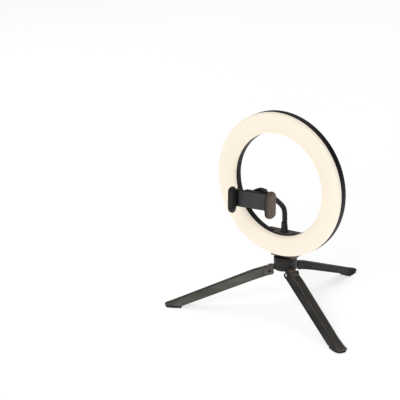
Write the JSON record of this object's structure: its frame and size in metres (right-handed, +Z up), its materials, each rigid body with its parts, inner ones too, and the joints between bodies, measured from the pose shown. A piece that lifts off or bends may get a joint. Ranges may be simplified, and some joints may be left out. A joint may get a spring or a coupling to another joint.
{
  "type": "ring light",
  "caption": "Desktop ring light on a folding table tripod, with a phone clamp on a short flexible neck inside the ring.",
  "frame": {"origin": "centre of the bounding box's bottom: on the table, with the tripod's own axis 40.04 mm towards -Y of it", "axes": "+Z up; the light shines towards -Y; +X to the right seen from the front"},
  "size_m": [0.3038, 0.2632, 0.2816],
  "materials": {
    "opal": "smooth satin opal, lit from behind",
    "housing": "fine moulded texture",
    "satin_black": "satin",
    "leg": "satin with fine lengthwise brushing",
    "rubber": "matt",
    "steel": "bright",
    "brass": "turned",
    "board_white": "solder mask",
    "board_green": "solder mask",
    "led_warm": "phosphor",
    "led_cool": "phosphor",
    "nylon": "natural"
  },
  "bodies": {
    "tripod": {"hub_body": "satin_black", "hub_collar": "satin_black", "hub_plug": "housing", "cup_washer": "steel"},
    "leg_front_right": {"leg_front_right": "leg", "leg_pin_front_right": "steel", "foot_front_right": "rubber"},
    "leg_front_left": {"leg_front_left": "leg", "leg_pin_front_left": "steel", "foot_front_left": "rubber"},
    "leg_rear": {"leg_rear": "leg", "leg_pin_rear": "steel", "foot_rear": "rubber"},
    "ball_cup": {"ball_cup": "nylon"},
    "ring_head": {"ball_stud": "steel", "diffuser": "opal", "rear_housing": "housing", "led_board": "board_white", "led_strip_warm": "led_warm", "led_strip_cool": "led_cool", "mount_block": "housing", "block_cover": "satin_black", "cover_screw_1": "steel", "cover_screw_2": "steel", "cover_screw_3": "steel", "cover_screw_4": "steel", "cable_gland": "rubber", "driver_board": "board_green", "led_connector": "nylon", "thread_insert": "brass", "neck_ferrule": "satin_black"},
    "neck_lower": {"neck_lower": "satin_black"},
    "neck_middle": {"neck_middle": "satin_black"},
    "neck_upper": {"neck_upper": "satin_black", "neck_ball": "steel"},
    "collet": {"ball_collet": "nylon"},
    "clamp": {"clamp_body": "housing", "clamp_plate": "satin_black", "plate_pad": "rubber", "plate_screw_1": "steel", "plate_screw_2": "steel", "plate_screw_3": "steel", "plate_screw_4": "steel", "fixed_jaw": "satin_black", "fixed_jaw_pad": "rubber", "clamp_spring": "steel"},
    "moving_jaw": {"moving_jaw": "satin_black", "moving_jaw_pad": "rubber", "jaw_slider": "steel", "guide_rod_lower": "steel", "guide_rod_upper": "steel"},
    "lock_nut": {"lock_nut": "housing"}
  },
  "joints": [
    {"name": "fold_front_right", "type": "hinge", "parent": "tripod", "child": "leg_front_right", "pos_m": [0.01845, -0.05069, 0.0574], "axis": [0.5, 0.866, 0], "range_deg": [0, 66]},
    {"name": "fold_front_left", "type": "hinge", "parent": "tripod", "child": "leg_front_left", "pos_m": [-0.01845, -0.05069, 0.0574], "axis": [0.5, -0.866, 0], "range_deg": [0, 66]},
    {"name": "fold_rear", "type": "hinge", "parent": "tripod", "child": "leg_rear", "pos_m": [0, -0.01874, 0.0574], "axis": [-1, 0, 0], "range_deg": [0, 66]},
    {"name": "head_pan", "type": "hinge", "parent": "tripod", "child": "ball_cup", "pos_m": [0, -0.04004, 0.0675], "axis": [0, 0, 1], "continuous": true},
    {"name": "head_tilt", "type": "hinge", "parent": "ball_cup", "child": "ring_head", "pos_m": [0, -0.04004, 0.0675], "axis": [1, 0, 0], "range_deg": [-4, 4]},
    {"name": "neck_sway", "type": "hinge", "parent": "ring_head", "child": "neck_lower", "pos_m": [0, -0.03874, 0.13], "axis": [0, 1, 0], "range_deg": [-20, 20]},
    {"name": "neck_bend_low", "type": "hinge", "parent": "neck_lower", "child": "neck_middle", "pos_m": [-0.0001, -0.04004, 0.1449], "axis": [1, 0, 0], "range_deg": [-25, 25]},
    {"name": "neck_bend_high", "type": "hinge", "parent": "neck_middle", "child": "neck_upper", "pos_m": [-0.0015, -0.05744, 0.1629], "axis": [1, 0, 0], "range_deg": [-25, 25]},
    {"name": "clamp_tilt", "type": "hinge", "parent": "neck_upper", "child": "collet", "pos_m": [-0.0013, -0.09114, 0.1736], "axis": [0.9971, 0.0767, 0], "range_deg": [-25, 25]},
    {"name": "clamp_turn", "type": "hinge", "parent": "collet", "child": "clamp", "pos_m": [-0.0013, -0.09114, 0.1736], "axis": [0.0765, -0.9937, 0.0819], "range_deg": [-90, 90]},
    {"name": "nut_turn", "type": "hinge", "parent": "clamp", "child": "lock_nut", "pos_m": [-0.0013, -0.09114, 0.1736], "axis": [-0.0765, 0.9937, -0.0819], "range_deg": [0, 180]},
    {"name": "jaw_slide", "type": "slide", "parent": "clamp", "child": "moving_jaw", "axis": [0.9971, 0.0767, 0], "range_m": [0, 0.03], "stiffness_N_per_m": 120, "springref_m": -0.02}
  ]
}
